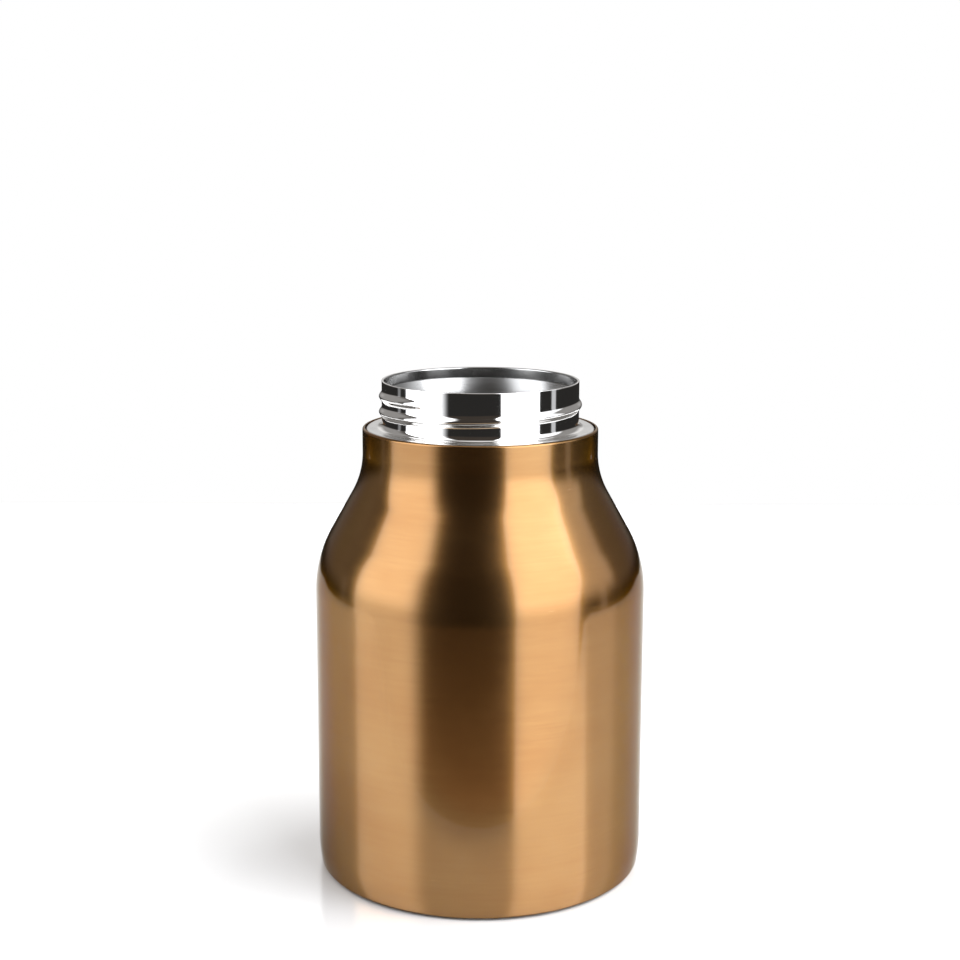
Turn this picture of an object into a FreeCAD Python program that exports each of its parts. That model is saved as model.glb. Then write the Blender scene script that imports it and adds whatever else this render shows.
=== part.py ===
"""Open double-walled milk frother container with a screw neck, as separate sheet-metal pieces.

Millimetres. +Z is up, the origin is on the vessel's axis at the level it stands on.
Every profile is drawn in the XZ plane, with X as the radius, and turned about the Z axis.
"""
import FreeCAD, Part
import math
import os

import Sketcher

Vector = FreeCAD.Vector

# Sizes that can be set by themselves.
DRIVING = {
    # vessel
    "overall_height": 135.5,
    "body_radius": 45.0,
    "collar_radius": 31.85,
    "neck_radius": 26.6,
    "shoulder_height": 122.8,
    # the two bends of the outer shell's shoulder: height where its straight lines meet, and radius
    "shoulder_foot_height": 86.6,
    "shoulder_head_height": 110.1,
    "shoulder_round": 32.9,
    "shoulder_hollow": 23.1,
    # outer shell
    "shell_wall": 0.5,
    "collar_inner_round": 0.1,
    "collar_lip_flat": 0.1,
    "tuck_depth": 0.7,
    "tuck_height": 4.6,
    "tuck_round": 36.0,
    "edge_bend": 1.2,
    "edge_lip_width": 2.7,
    # neck ring
    "neck_wall": 0.7,
    "neck_foot_bend": 1.5,
    "flange_bend": 0.9,
    "skirt_length": 4.0,
    "rim_outer_round": 0.2,
    "rim_inner_round": 0.42,
    # rolled thread, right-handed; depths are from the rim to the crest, angles are from +X
    "thread_pitch": 4.2,
    "thread_height": 0.77,
    "thread_width": 3.1,
    "thread_root": 0.1,
    "thread_first_depth": 9.27,
    "thread_first_angle": 118.0,
    "thread_turns": 1.339,
    "thread_hollow_setback": 0.045,
    "thread_run_out_width": 14.0,
    # liner
    "liner_wall": 0.5,
    "vacuum_gap": 2.5,
    "throat_radius": 24.0,
    "liner_rim_depth": 3.1,
    "flare_depth": 3.0,
    "flare_round": 12.0,
    "liner_drop_foot": 1.6,
    "liner_drop_head": 1.6,
    "liner_round": 26.0,
    "liner_hollow": 20.0,
    "liner_seam_height": 16.0,
    # liner bottom
    "liner_floor_clearance": 5.7,
    "floor_corner_round": 6.0,
    "panel_margin": 14.0,
    "panel_slope_width": 6.0,
    "panel_rise": 1.4,
    "panel_round": 8.0,
    # shell base with its evacuation dimple
    "base_recess": 2.4,
    "base_bend": 1.2,
    "dimple_radius": 5.5,
    "dimple_slope_width": 1.5,
    "dimple_rise": 1.3,
    "dimple_foot_round": 1.0,
    "dimple_head_round": 1.5,
    "seal_hole_radius": 1.0,
    # seal bead
    "seal_radius": 3.2,
    "seal_foot_radius": 2.2,
    "seal_depth": 0.9,
    "seal_round": 0.8,
    "seal_nipple_length": 0.3,
    # getter
    "getter_margin": 10.0,
    "getter_radius": 4.0,
    "getter_thickness": 1.6,
    "clip_thickness": 0.3,
    "clip_foot_length": 4.0,
    "clip_width": 5.0,
    "clip_bend": 0.6,
    # reflector foil
    "foil_thickness": 0.2,
    "foil_foot_margin": 2.5,
    "foil_head_margin": 10.5,
    "foil_wrap_angle": 356.0,
    # base cover, tape and foot
    "cover_wall": 0.5,
    "cover_recess": 1.0,
    "cover_bend": 0.8,
    "cover_rim_height": 1.2,
    "tape_inner_radius": 10.0,
    "tape_margin": 3.45,
    "foot_margin": 3.45,
    "foot_width": 5.0,
    "foot_stand_off": 0.4,
    "foot_round": 0.35,
    # clearances between pieces
    "weld_gap": 0.05,
    "crevice": 0.15,
    "foil_gap": 0.15,
}

# Sizes that follow from the ones above.
DERIVED = {
    # outer shell
    "collar_bend": "shell_wall + collar_inner_round",
    "collar_lip_radius": "collar_radius - collar_bend - collar_lip_flat",
    "edge_radius": "body_radius - tuck_depth",
    "edge_lip_radius": "edge_radius - edge_lip_width",
    # neck ring
    "flange_radius": "collar_lip_radius - crevice",
    "skirt_foot_height": "shoulder_height - skirt_length",
    "neck_inner_radius": "neck_radius - neck_wall",
    # thread
    "thread_base_radius": "neck_radius - thread_root",
    "thread_rise": "thread_height + thread_root",
    "thread_round": "(thread_width * thread_width / 4 + thread_rise * thread_rise) / (2 * thread_rise)",
    "thread_first_height": "overall_height - thread_first_depth",
    "thread_climb": "thread_pitch * thread_turns",
    "thread_last_height": "thread_first_height + thread_climb",
    "thread_last_angle": "thread_first_angle + 360 * thread_turns",
    "thread_crest_radius": "neck_radius + thread_height",
    "hollow_base_radius": "thread_base_radius - neck_wall",
    "hollow_first_angle": "thread_first_angle + 360 * thread_hollow_setback",
    "hollow_first_height": "thread_first_height + thread_pitch * thread_hollow_setback",
    "hollow_turns": "thread_turns - 2 * thread_hollow_setback",
    "hollow_climb": "thread_pitch * hollow_turns",
    "run_out_radius": "neck_radius + weld_gap",
    "run_out_clear_radius": "thread_crest_radius + thread_root",
    "run_out_half_height": "thread_width / 2 + thread_root",
    "run_in_low": "thread_first_height - run_out_half_height",
    "run_in_high": "thread_first_height + run_out_half_height",
    "run_out_low": "thread_last_height - run_out_half_height",
    "run_out_high": "thread_last_height + run_out_half_height",
    # liner body
    "liner_radius": "body_radius - shell_wall - vacuum_gap",
    "throat_outer_radius": "throat_radius + liner_wall",
    "liner_mouth_radius": "neck_inner_radius - weld_gap",
    "liner_rim_height": "overall_height - liner_rim_depth",
    "flare_foot_height": "liner_rim_height - flare_depth",
    "liner_foot_height": "shoulder_foot_height - liner_drop_foot",
    "liner_head_height": "shoulder_head_height - liner_drop_head",
    # shell base
    "shell_floor_height": "foot_stand_off + shell_wall",
    "base_flange_radius": "edge_radius - edge_bend - weld_gap",
    "base_foot_height": "shell_floor_height + weld_gap",
    "base_height": "shell_floor_height + base_recess",
    "base_underside": "base_height - shell_wall",
    "dimple_foot_radius": "dimple_radius + dimple_slope_width",
    "dimple_height": "base_height + dimple_rise",
    "dimple_underside": "dimple_height - shell_wall",
    # liner bottom
    "bottom_seam_height": "liner_seam_height - weld_gap",
    "liner_floor_height": "base_height + liner_floor_clearance",
    "panel_foot_radius": "liner_radius - panel_margin",
    "panel_radius": "panel_foot_radius - panel_slope_width",
    "panel_height": "liner_floor_height + panel_rise",
    # seal bead
    "seal_top": "dimple_underside - weld_gap",
    "seal_foot": "seal_top - seal_depth",
    "seal_nipple_top": "seal_top + seal_nipple_length",
    "seal_nipple_radius": "seal_hole_radius - weld_gap",
    # getter and clip
    "getter_centre": "panel_radius - getter_margin",
    "clip_foot_height": "panel_height - weld_gap",
    "getter_height": "panel_height - weld_gap - getter_thickness",
    "clip_pocket_height": "getter_height - weld_gap",
    "clip_pocket_half": "getter_radius + clip_bend",
    "clip_start": "getter_centre - clip_pocket_half - clip_foot_length",
    "clip_pocket_start": "getter_centre - clip_pocket_half",
    "clip_pocket_end": "getter_centre + clip_pocket_half",
    "clip_end": "getter_centre + clip_pocket_half + clip_foot_length",
    # reflector foil
    "foil_radius": "liner_radius + foil_gap",
    "foil_outer_radius": "foil_radius + foil_thickness",
    "foil_foot_height": "liner_seam_height + foil_foot_margin",
    "foil_head_height": "liner_foot_height - foil_head_margin",
    # base cover, tape and foot
    "cover_radius": "edge_lip_radius - crevice",
    "cover_underside": "foot_stand_off + cover_recess",
    "cover_rim_top": "cover_underside + cover_rim_height",
    "tape_outer_radius": "cover_radius - tape_margin",
    "tape_foot": "cover_underside + cover_wall + weld_gap",
    "tape_top": "base_underside - weld_gap",
    "foot_outer_radius": "cover_radius - foot_margin",
    "foot_inner_radius": "foot_outer_radius - foot_width",
    "foot_top": "cover_underside - weld_gap",
}


def make_sheet(doc):
    """Fill the spreadsheet: driving sizes as plain numbers, derived sizes as formulas on them."""
    sheet = doc.addObject("Spreadsheet::Sheet", "Sizes")
    rows = [(name, str(value)) for name, value in DRIVING.items()]
    rows += [(name, "=" + formula) for name, formula in DERIVED.items()]
    for row, (name, content) in enumerate(rows, start=1):
        sheet.set("A%d" % row, name)
        sheet.set("B%d" % row, content)
        sheet.setAlias("B%d" % row, name)
    doc.recompute()
    return sheet


class Outline:
    """A chain of straight lines with rounded corners, drawn and dimensioned in a sketch.

    A corner is (radius name, height name) or (radius name, height name, rounding name), where each
    name is a cell of the sheet. None as a radius name puts the corner on the axis, and None as a
    height name puts it on the level that the vessel stands on.
    """

    def __init__(self, sketch, sheet, corners, closed=False):
        self.sketch = sketch
        self.sheet = sheet
        self.corners = corners
        self.closed = closed
        self.points = [self.position(corner) for corner in corners]
        self.lines = []
        self.arcs = {}
        self.draw()

    def value(self, name):
        """Size in the cell with this name, and 0 for None."""
        return 0.0 if name is None else float(self.sheet.get(name))

    def position(self, corner):
        """Where a corner's two lines meet."""
        return Vector(self.value(corner[0]), self.value(corner[1]), 0)

    def rounding(self, index):
        """Name of a corner's rounding, or None at a plain corner."""
        corner = self.corners[index]
        return corner[2] if len(corner) > 2 else None

    def directions(self, index):
        """Unit vectors from a corner towards the one before and the one after it."""
        here = self.points[index]
        before = self.points[index - 1]
        after = self.points[(index + 1) % len(self.points)]
        return (before - here).normalize(), (after - here).normalize()

    def tangent_points(self, index):
        """Where a corner's arc meets the lines on its two sides, and the arc's middle point."""
        here = self.points[index]
        if self.rounding(index) is None:
            return here, here, here
        radius = self.value(self.rounding(index))
        back, ahead = self.directions(index)
        half = back.getAngle(ahead) / 2
        reach = radius / math.tan(half)
        bisector = (back + ahead).normalize()
        middle = here + bisector * (radius / math.sin(half) - radius)
        return here + back * reach, here + ahead * reach, middle

    def constrain(self, name, *arguments):
        """Add a constraint; a trailing cell name sets its value through an expression."""
        alias = None
        if isinstance(arguments[-1], str):
            alias = arguments[-1]
            arguments = arguments[:-1] + (self.value(alias),)
        index = self.sketch.addConstraint(Sketcher.Constraint(name, *arguments))
        if alias is not None:
            self.sketch.setExpression("Constraints[%d]" % index, "Sizes." + alias)

    def pin(self, corner, geometry, vertex):
        """Dimension a vertex by its radius and height."""
        if corner[0] is None:
            self.constrain("PointOnObject", geometry, vertex, -2)
        else:
            self.constrain("DistanceX", geometry, vertex, corner[0])
        if corner[1] is None:
            self.constrain("PointOnObject", geometry, vertex, -1)
        else:
            self.constrain("DistanceY", geometry, vertex, corner[1])

    def arc_ends(self, arc, first):
        """The arc's vertex numbers, the one at the point named first."""
        at_start = self.sketch.getPoint(arc, 1).distanceToPoint(first) < 1e-4
        return (1, 2) if at_start else (2, 1)

    def draw(self):
        """Draw the lines, join them at the corners and dimension the ends of an open chain."""
        count = len(self.points)
        spans = count if self.closed else count - 1
        for index in range(spans):
            start = self.tangent_points(index)[1]
            finish = self.tangent_points((index + 1) % count)[0]
            self.lines.append(self.sketch.addGeometry(Part.LineSegment(start, finish), False))
        corners = range(count) if self.closed else range(1, count - 1)
        for index in corners:
            self.join(index)
        if not self.closed:
            self.pin(self.corners[0], self.lines[0], 1)
            self.pin(self.corners[-1], self.lines[-1], 2)

    def join(self, index):
        """Join the two lines at a corner, by their ends or by a tangent arc."""
        before = self.lines[index - 1]
        after = self.lines[index]
        if self.rounding(index) is None:
            self.constrain("Coincident", before, 2, after, 1)
            self.pin(self.corners[index], after, 1)
            return
        first, last, middle = self.tangent_points(index)
        arc = self.sketch.addGeometry(Part.Arc(first, middle, last), False)
        sharp = self.sketch.addGeometry(Part.Point(self.points[index]), True)
        start, finish = self.arc_ends(arc, first)
        self.arcs[index] = (arc, start, finish)
        self.pin(self.corners[index], sharp, 1)
        self.constrain("PointOnObject", sharp, 1, before)
        self.constrain("PointOnObject", sharp, 1, after)
        self.constrain("Tangent", before, 2, arc, start)
        self.constrain("Tangent", arc, finish, after, 1)
        self.constrain("Radius", arc, self.rounding(index))


class Wall(Outline):
    """An open outline thickened to one side, as a closed section of sheet metal.

    side is 1 for a wall to the left of the outline's direction, and -1 for one to its right.
    """

    def __init__(self, sketch, sheet, corners, wall, side):
        super().__init__(sketch, sheet, corners)
        self.wall = wall
        self.side = side
        self.back_lines = []
        self.draw_back()

    def shifted(self, point, line):
        """A point moved across the wall, square to one of the outline's lines."""
        along = (self.points[line + 1] - self.points[line]).normalize()
        across = Vector(-along.y, along.x, 0) * self.side
        return point + across * self.value(self.wall)

    def draw_back(self):
        """Draw the far side of the wall and close it at both ends."""
        sketch = self.sketch
        for index in range(len(self.lines)):
            start = self.shifted(self.tangent_points(index)[1], index)
            finish = self.shifted(self.tangent_points(index + 1)[0], index)
            self.back_lines.append(sketch.addGeometry(Part.LineSegment(start, finish), False))
        for index in range(1, len(self.points) - 1):
            self.join_back(index)
        self.constrain("Parallel", self.back_lines[0], self.lines[0])
        if len(self.lines) > 1:
            self.constrain("Parallel", self.back_lines[-1], self.lines[-1])
        self.cap(self.lines[0], self.back_lines[0], 1)
        self.cap(self.lines[-1], self.back_lines[-1], 2)

    def join_back(self, index):
        """Draw the arc behind a corner, on the centre of the arc in front."""
        front, start, finish = self.arcs[index]
        back, ahead = self.directions(index)
        turns_left = (ahead.x * back.y - ahead.y * back.x) > 0
        inner = turns_left == (self.side > 0)
        sign = -1 if inner else 1
        first, last, middle = self.tangent_points(index)
        centre = self.sketch.getPoint(front, 3)
        outward = (middle - centre).normalize()
        radius = self.value(self.rounding(index)) + sign * self.value(self.wall)
        first = self.shifted(first, index - 1)
        last = self.shifted(last, index)
        curve = Part.Arc(first, centre + outward * radius, last)
        arc = self.sketch.addGeometry(curve, False)
        back_start, back_finish = self.arc_ends(arc, first)
        self.constrain("Coincident", arc, 3, front, 3)
        self.constrain("Tangent", self.back_lines[index - 1], 2, arc, back_start)
        self.constrain("Tangent", arc, back_finish, self.back_lines[index], 1)
        number = self.sketch.addConstraint(Sketcher.Constraint("Radius", arc, radius))
        operator = " + " if sign > 0 else " - "
        formula = "Sizes." + self.rounding(index) + operator + "Sizes." + self.wall
        self.sketch.setExpression("Constraints[%d]" % number, formula)

    def cap(self, line, back_line, vertex):
        """Close the wall at one end, square to it."""
        start = self.sketch.getPoint(line, vertex)
        finish = self.sketch.getPoint(back_line, vertex)
        end = self.sketch.addGeometry(Part.LineSegment(start, finish), False)
        self.constrain("Coincident", end, 1, line, vertex)
        self.constrain("Coincident", end, 2, back_line, vertex)
        self.constrain("Perpendicular", end, line)


def new_body(doc, label):
    """An empty body that carries the piece's name."""
    body = doc.addObject("PartDesign::Body", "body_" + label)
    body.Label = label
    return body


def origin_feature(body, role):
    """One of the body's own origin planes or axes, such as XZ_Plane or Z_Axis."""
    return next(feature for feature in body.Origin.OriginFeatures if feature.Role == role)


def new_sketch(body, name, turn=None):
    """A sketch on the body's XZ plane; turn names a cell with an angle about Z to turn it by."""
    sketch = body.newObject("Sketcher::SketchObject", name)
    sketch.AttachmentSupport = [(origin_feature(body, "XZ_Plane"), "")]
    sketch.MapMode = "FlatFace"
    if turn is not None:
        sketch.AttachmentOffset = FreeCAD.Placement(Vector(), FreeCAD.Rotation(Vector(0, 1, 0), 0))
        sketch.setExpression("AttachmentOffset.Rotation.Angle", "Sizes.%s * 1 deg" % turn)
    return sketch


def revolve(body, sketch, wrap=None):
    """Turn a sketch about Z, all the way round or by the angle in the cell named wrap."""
    turned = body.newObject("PartDesign::Revolution", sketch.Name + "_turned")
    turned.Profile = sketch
    turned.ReferenceAxis = (sketch, ["V_Axis"])
    turned.Angle = 360
    if wrap is not None:
        turned.setExpression("Angle", "Sizes." + wrap)
    return turned


def pressed_piece(doc, sheet, label, corners, wall, side):
    """A round piece pressed or spun from sheet of one thickness."""
    body = new_body(doc, label)
    sketch = new_sketch(body, label + "_section")
    Wall(sketch, sheet, corners, wall, side)
    revolve(body, sketch)
    return body


def turned_piece(doc, sheet, label, corners, wrap=None):
    """A round piece with a closed section."""
    body = new_body(doc, label)
    sketch = new_sketch(body, label + "_section")
    Outline(sketch, sheet, corners, closed=True)
    revolve(body, sketch, wrap)
    return body


def make_outer_shell(doc, sheet):
    """Lacquered outer skin, from the lip under its bottom edge up to the lip round the shoulder."""
    corners = [
        ("edge_lip_radius", "foot_stand_off"),
        ("edge_radius", "foot_stand_off", "edge_bend"),
        ("body_radius", "tuck_height", "tuck_round"),
        ("body_radius", "shoulder_foot_height", "shoulder_round"),
        ("collar_radius", "shoulder_head_height", "shoulder_hollow"),
        ("collar_radius", "shoulder_height", "collar_bend"),
        ("collar_lip_radius", "shoulder_height"),
    ]
    return pressed_piece(doc, sheet, "outer_shell", corners, "shell_wall", 1)


def thread_section(body, sheet, name, radius, height, angle):
    """Half-moon section of the thread's ridge, on a plane through the axis turned by an angle."""
    sketch = new_sketch(body, name, turn=angle)
    base = float(sheet.get(radius))
    middle = float(sheet.get(height))
    half_width = float(sheet.get("thread_width")) / 2
    crest = base + float(sheet.get("thread_rise"))
    low = Vector(base, middle - half_width, 0)
    high = Vector(base, middle + half_width, 0)
    arc = sketch.addGeometry(Part.Arc(low, Vector(crest, middle, 0), high), False)
    chord = sketch.addGeometry(Part.LineSegment(high, low), False)
    centre = sketch.addGeometry(Part.Point(Vector(base, middle, 0)), True)
    sketch.addConstraint(Sketcher.Constraint("Coincident", arc, 2, chord, 1))
    sketch.addConstraint(Sketcher.Constraint("Coincident", arc, 1, chord, 2))
    sketch.addConstraint(Sketcher.Constraint("Vertical", chord))
    sketch.addConstraint(Sketcher.Constraint("Symmetric", chord, 1, chord, 2, centre, 1))
    sizes = [
        (("DistanceX", centre, 1, base), radius),
        (("DistanceY", centre, 1, middle), height),
        (("DistanceY", chord, 2, chord, 1, 2 * half_width), "thread_width"),
        (("Radius", arc, float(sheet.get("thread_round"))), "thread_round"),
    ]
    for arguments, alias in sizes:
        index = sketch.addConstraint(Sketcher.Constraint(*arguments))
        sketch.setExpression("Constraints[%d]" % index, "Sizes." + alias)
    return sketch


def add_helix(body, kind, sketch, turns, climb):
    """Sweep a section up round the Z axis along a right-handed helix."""
    helix = body.newObject("PartDesign::" + kind, sketch.Name + "_swept")
    helix.Profile = sketch
    helix.ReferenceAxis = (sketch, ["V_Axis"])
    helix.Mode = "height-turns-angle"
    helix.LeftHanded = False
    helix.setExpression("Height", "Sizes." + climb)
    helix.setExpression("Turns", "Sizes." + turns)
    return helix


def flatten_thread_end(body, sheet, name, low, high, angle):
    """Cut the ridge to a flat that meets the neck, so that the thread's end fades out."""
    sketch = new_sketch(body, name, turn=angle)
    corners = [
        ("run_out_radius", low),
        ("run_out_clear_radius", low),
        ("run_out_clear_radius", high),
        ("run_out_radius", high),
    ]
    Outline(sketch, sheet, corners, closed=True)
    pocket = body.newObject("PartDesign::Pocket", name + "_flat")
    pocket.Profile = sketch
    pocket.Midplane = True
    pocket.setExpression("Length", "Sizes.thread_run_out_width")
    return pocket


def round_circle(doc, body, sheet, height, radius, rounding):
    """Round the circular edge of the body at a height and radius."""
    doc.recompute()
    base = body.Tip
    level = float(sheet.get(height))
    reach = float(sheet.get(radius))
    names = []
    for number, edge in enumerate(base.Shape.Edges, start=1):
        curve = edge.Curve
        if not isinstance(curve, Part.Circle):
            continue
        if abs(curve.Center.z - level) < 1e-4 and abs(curve.Radius - reach) < 1e-4:
            names.append("Edge%d" % number)
    fillet = body.newObject("PartDesign::Fillet", rounding)
    fillet.Base = (base, names)
    fillet.setExpression("Radius", "Sizes." + rounding)
    return fillet


def make_neck_ring(doc, sheet):
    """Neck with its rolled thread, the flat shoulder round it and the skirt under the shoulder."""
    corners = [
        ("flange_radius", "skirt_foot_height"),
        ("flange_radius", "shoulder_height", "flange_bend"),
        ("neck_radius", "shoulder_height", "neck_foot_bend"),
        ("neck_radius", "overall_height"),
    ]
    body = pressed_piece(doc, sheet, "neck_ring", corners, "neck_wall", 1)
    round_circle(doc, body, sheet, "overall_height", "neck_radius", "rim_outer_round")
    round_circle(doc, body, sheet, "overall_height", "neck_inner_radius", "rim_inner_round")
    ridge = thread_section(
        body, sheet, "ridge", "thread_base_radius", "thread_first_height", "thread_first_angle")
    add_helix(body, "AdditiveHelix", ridge, "thread_turns", "thread_climb")
    flatten_thread_end(body, sheet, "run_in", "run_in_low", "run_in_high", "thread_first_angle")
    flatten_thread_end(body, sheet, "run_out", "run_out_low", "run_out_high", "thread_last_angle")
    hollow = thread_section(
        body, sheet, "hollow", "hollow_base_radius", "hollow_first_height", "hollow_first_angle")
    add_helix(body, "SubtractiveHelix", hollow, "hollow_turns", "hollow_climb")
    return body


def make_liner_body(doc, sheet):
    """Inner vessel without its bottom: flared mouth, throat, shoulder and wall."""
    corners = [
        ("liner_radius", "liner_seam_height"),
        ("liner_radius", "liner_foot_height", "liner_round"),
        ("throat_outer_radius", "liner_head_height", "liner_hollow"),
        ("throat_outer_radius", "flare_foot_height", "flare_round"),
        ("liner_mouth_radius", "liner_rim_height"),
    ]
    return pressed_piece(doc, sheet, "liner_body", corners, "liner_wall", 1)


def make_liner_bottom(doc, sheet):
    """Cup that closes the inner vessel, with a raised middle panel."""
    corners = [
        (None, "panel_height"),
        ("panel_radius", "panel_height", "panel_round"),
        ("panel_foot_radius", "liner_floor_height", "panel_round"),
        ("liner_radius", "liner_floor_height", "floor_corner_round"),
        ("liner_radius", "bottom_seam_height"),
    ]
    return pressed_piece(doc, sheet, "liner_bottom", corners, "liner_wall", 1)


def make_shell_base(doc, sheet):
    """Pressed plate that closes the vacuum space, with a dimple round the evacuation hole."""
    corners = [
        ("base_flange_radius", "base_foot_height"),
        ("base_flange_radius", "base_height", "base_bend"),
        ("dimple_foot_radius", "base_height", "dimple_foot_round"),
        ("dimple_radius", "dimple_height", "dimple_head_round"),
        ("seal_hole_radius", "dimple_height"),
    ]
    return pressed_piece(doc, sheet, "shell_base", corners, "shell_wall", 1)


def make_vacuum_seal(doc, sheet):
    """Solder bead under the dimple, with a nipple that fills the evacuation hole."""
    corners = [
        (None, "seal_foot"),
        ("seal_foot_radius", "seal_foot", "seal_round"),
        ("seal_radius", "seal_top"),
        ("seal_nipple_radius", "seal_top"),
        ("seal_nipple_radius", "seal_nipple_top"),
        (None, "seal_nipple_top"),
    ]
    return turned_piece(doc, sheet, "vacuum_seal", corners)


def make_getter_pellet(doc, sheet):
    """Getter disc under the liner bottom's raised panel."""
    body = new_body(doc, "getter_pellet")
    sketch = body.newObject("Sketcher::SketchObject", "pellet_outline")
    sketch.AttachmentSupport = [(origin_feature(body, "XY_Plane"), "")]
    sketch.MapMode = "FlatFace"
    sketch.setExpression("AttachmentOffset.Base.z", "Sizes.getter_height")
    centre = Vector(float(sheet.get("getter_centre")), 0, 0)
    radius = float(sheet.get("getter_radius"))
    circle = sketch.addGeometry(Part.Circle(centre, Vector(0, 0, 1), radius), False)
    across = sketch.addConstraint(Sketcher.Constraint("DistanceX", circle, 3, centre.x))
    sketch.setExpression("Constraints[%d]" % across, "Sizes.getter_centre")
    sketch.addConstraint(Sketcher.Constraint("PointOnObject", circle, 3, -1))
    size = sketch.addConstraint(Sketcher.Constraint("Radius", circle, radius))
    sketch.setExpression("Constraints[%d]" % size, "Sizes.getter_radius")
    pad = body.newObject("PartDesign::Pad", "pellet_pressed")
    pad.Profile = sketch
    pad.setExpression("Length", "Sizes.getter_thickness")
    return body


def make_getter_clip(doc, sheet):
    """Bent strip with a pocket for the pellet and two feet spot-welded to the liner bottom."""
    body = new_body(doc, "getter_clip")
    sketch = new_sketch(body, "clip_section")
    corners = [
        ("clip_start", "clip_foot_height"),
        ("clip_pocket_start", "clip_foot_height", "clip_bend"),
        ("clip_pocket_start", "clip_pocket_height", "clip_bend"),
        ("clip_pocket_end", "clip_pocket_height", "clip_bend"),
        ("clip_pocket_end", "clip_foot_height", "clip_bend"),
        ("clip_end", "clip_foot_height"),
    ]
    Wall(sketch, sheet, corners, "clip_thickness", -1)
    pad = body.newObject("PartDesign::Pad", "clip_strip")
    pad.Profile = sketch
    pad.Midplane = True
    pad.setExpression("Length", "Sizes.clip_width")
    return body


def make_reflector_foil(doc, sheet):
    """Copper foil round the liner, open along one seam."""
    corners = [
        ("foil_radius", "foil_foot_height"),
        ("foil_outer_radius", "foil_foot_height"),
        ("foil_outer_radius", "foil_head_height"),
        ("foil_radius", "foil_head_height"),
    ]
    return turned_piece(doc, sheet, "reflector_foil", corners, wrap="foil_wrap_angle")


def make_base_cover(doc, sheet):
    """Disc with a turned-up rim that covers the seal underneath."""
    corners = [
        (None, "cover_underside"),
        ("cover_radius", "cover_underside", "cover_bend"),
        ("cover_radius", "cover_rim_top"),
    ]
    return pressed_piece(doc, sheet, "base_cover", corners, "cover_wall", 1)


def make_cover_tape(doc, sheet):
    """Foam tape ring between the base cover and the shell base."""
    corners = [
        ("tape_inner_radius", "tape_foot"),
        ("tape_outer_radius", "tape_foot"),
        ("tape_outer_radius", "tape_top"),
        ("tape_inner_radius", "tape_top"),
    ]
    return turned_piece(doc, sheet, "cover_tape", corners)


def make_foot_ring(doc, sheet):
    """Silicone ring under the base cover, which the container stands on."""
    corners = [
        ("foot_inner_radius", None, "foot_round"),
        ("foot_outer_radius", None, "foot_round"),
        ("foot_outer_radius", "foot_top"),
        ("foot_inner_radius", "foot_top"),
    ]
    return turned_piece(doc, sheet, "foot_ring", corners)


MAKERS = [
    make_outer_shell,
    make_neck_ring,
    make_liner_body,
    make_liner_bottom,
    make_shell_base,
    make_vacuum_seal,
    make_getter_pellet,
    make_getter_clip,
    make_reflector_foil,
    make_base_cover,
    make_cover_tape,
    make_foot_ring,
]


def check(doc, pieces):
    """Stop if any object failed to compute or any piece isn't one valid solid."""
    for thing in doc.Objects:
        if "Invalid" in thing.State or "Error" in thing.State:
            raise RuntimeError("%s did not compute: %s" % (thing.Label, thing.State))
    for piece in pieces:
        shape = piece.Shape
        if shape.isNull() or not shape.isValid() or len(shape.Solids) != 1:
            raise RuntimeError("%s is not one valid solid" % piece.Label)


def main():
    """Build every piece, check it and write it to parts as a STEP file."""
    doc = FreeCAD.newDocument("frother_container")
    sheet = make_sheet(doc)
    pieces = [make(doc, sheet) for make in MAKERS]
    doc.recompute()
    check(doc, pieces)
    os.makedirs("parts", exist_ok=True)
    for piece in pieces:
        piece.Shape.exportStep(os.path.join("parts", piece.Label + ".step"))
        print("%-16s %9.1f mm3" % (piece.Label, piece.Shape.Volume))


main()
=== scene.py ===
"""Looks of an open, double-walled milk frother container with a rolled screw neck.

The visible sheet-metal pieces are turned again here with finer bends, a smooth rolled thread and
deburred edges, and every piece gets a procedural finish. Sizes are in millimetres, and become
metres where a mesh is made. +Z is up and the container stands on the origin.
"""

import logging
import math
from dataclasses import dataclass
from enum import Enum
from typing import Any

import bmesh
import bpy
from mathutils import Matrix, Vector


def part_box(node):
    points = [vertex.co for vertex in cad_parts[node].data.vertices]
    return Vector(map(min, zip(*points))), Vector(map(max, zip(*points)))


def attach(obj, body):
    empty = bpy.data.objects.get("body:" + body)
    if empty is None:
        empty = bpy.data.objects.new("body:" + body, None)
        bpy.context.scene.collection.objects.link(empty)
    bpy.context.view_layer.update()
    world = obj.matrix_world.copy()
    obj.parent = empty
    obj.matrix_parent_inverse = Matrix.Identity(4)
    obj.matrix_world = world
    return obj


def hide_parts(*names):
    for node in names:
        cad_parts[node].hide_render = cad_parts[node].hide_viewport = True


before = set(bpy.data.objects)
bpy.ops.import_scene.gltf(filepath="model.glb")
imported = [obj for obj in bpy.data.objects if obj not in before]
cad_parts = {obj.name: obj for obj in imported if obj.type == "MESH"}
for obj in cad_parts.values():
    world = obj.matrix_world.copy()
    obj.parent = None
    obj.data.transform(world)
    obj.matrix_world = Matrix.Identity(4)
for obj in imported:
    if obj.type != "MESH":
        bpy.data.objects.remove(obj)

LOG = logging.getLogger("frother")
MM = 0.001
SHEET_WALL = 0.5  # sheet of the outer shell, the liner and the cover disc
WELD_DISTANCE = 1e-4  # points closer together than this are one point
SHORTEST_EDGE = 1e-6
FEWEST_FACETS = 3  # of a bend
NO_LIMIT = 1e9
AXIS_GUARD = 1e-4  # keeps headings finite on the axis
MIX_SHARE, MIX_FIRST, MIX_SECOND, MIX_RESULT = 0, 6, 7, 2  # a Mix node's colour sockets

Colour = tuple[float, float, float]
WHITE: Colour = (1.0, 1.0, 1.0)
Fade = tuple[float, float]  # where a smooth step is 0, and where it is 1


# ---------------------------------------------------------------------------------------- shaders


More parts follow.
